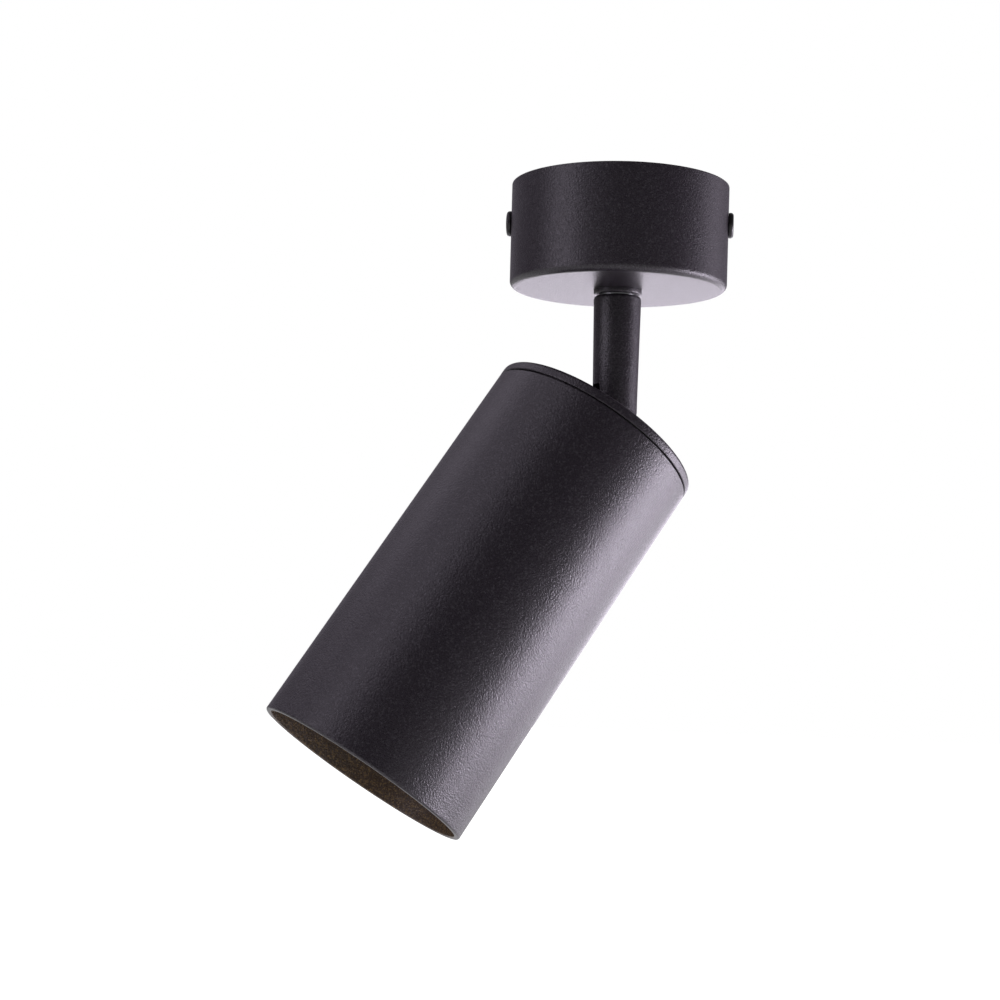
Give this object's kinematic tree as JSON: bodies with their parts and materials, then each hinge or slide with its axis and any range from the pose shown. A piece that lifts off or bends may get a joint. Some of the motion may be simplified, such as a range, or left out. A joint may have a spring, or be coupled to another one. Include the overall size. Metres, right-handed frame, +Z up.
{
  "type": "surface mounted ceiling spotlight",
  "caption": "Black ceiling spotlight: round canopy, short swivelling stem and a tilting tube head that holds a twist-lock reflector lamp.",
  "frame": {"origin": "centre of the canopy's ceiling plane, which is also the centre of the ceiling bracket's slots", "axes": "+Z up into the ceiling; X through the two side screws; the head leans towards -X and -Y"},
  "size_m": [0.1183, 0.0912, 0.178],
  "materials": {
    "powder_coat": "near-black fine grain powder coat",
    "screw_black": "black plated, satin",
    "zinc_steel": "zinc plated, satin",
    "brass": "turned, bare",
    "nylon_white": "moulded",
    "nylon_black": "stamped sheet",
    "rubber_black": "moulded",
    "ceramic_white": "fired, unglazed",
    "lead_brown": "insulation",
    "lead_blue": "insulation",
    "lead_green_yellow": "insulation, two colours",
    "lamp_white": "moulded",
    "lamp_board": "coated disc",
    "lens_clear": "frosted"
  },
  "bodies": {
    "canopy": {"canopy_cup": "powder_coat", "canopy_side_screws": "screw_black", "ceiling_bracket": "zinc_steel", "terminal_block": "nylon_white", "terminal_clamps": "brass", "terminal_screws": "zinc_steel", "terminal_block_screw": "zinc_steel", "bracket_earth_tag": "brass", "bracket_earth_screw": "zinc_steel", "bracket_earth_lead": "lead_green_yellow", "swivel_bush": "powder_coat", "swivel_stop_peg": "zinc_steel", "canopy_lead_live": "lead_brown", "canopy_lead_neutral": "lead_blue", "canopy_lead_earth": "lead_green_yellow"},
    "stem": {"stem": "powder_coat", "threaded_nipple": "zinc_steel", "stop_washer": "zinc_steel", "spring_washer": "zinc_steel", "lock_nut": "zinc_steel", "hinge_screw": "screw_black", "hinge_washers": "nylon_black", "stem_lead_live": "lead_brown", "stem_lead_neutral": "lead_blue", "stem_lead_earth": "lead_green_yellow", "hinge_lead_live": "lead_brown", "hinge_lead_neutral": "lead_blue", "hinge_lead_earth": "lead_green_yellow"},
    "head": {"hinge_tongue": "powder_coat", "tongue_screws": "zinc_steel", "rear_cap": "powder_coat", "lead_grommet": "rubber_black", "head_tube": "powder_coat", "holder_bracket": "zinc_steel", "bracket_screws": "zinc_steel", "head_earth_tag": "brass", "lampholder": "ceramic_white", "holder_contacts": "brass", "holder_screws": "zinc_steel", "head_lead_live": "lead_brown", "head_lead_neutral": "lead_blue", "head_lead_earth": "lead_green_yellow"},
    "lamp": {"lamp_base": "lamp_white", "lamp_pins": "zinc_steel", "lamp_shell": "lamp_white", "lamp_board": "lamp_board", "lamp_lens": "lens_clear"}
  },
  "joints": [
    {"name": "stem_swivel", "type": "hinge", "parent": "canopy", "child": "stem", "pos_m": [0, 0, -0.0288], "axis": [0, 0, 1], "range_deg": [-163, 163]},
    {"name": "head_tilt", "type": "hinge", "parent": "stem", "child": "head", "pos_m": [0, 0, -0.0598], "axis": [-0.4679, 0.8838, 0], "range_deg": [-34.3, 55.7], "deforming": ["hinge_lead_live", "hinge_lead_neutral", "hinge_lead_earth"]},
    {"name": "lamp_twist", "type": "hinge", "parent": "head", "child": "lamp", "pos_m": [0, 0, -0.0598], "axis": [0.498, 0.2637, 0.8261], "range_deg": [-25, 0]}
  ]
}
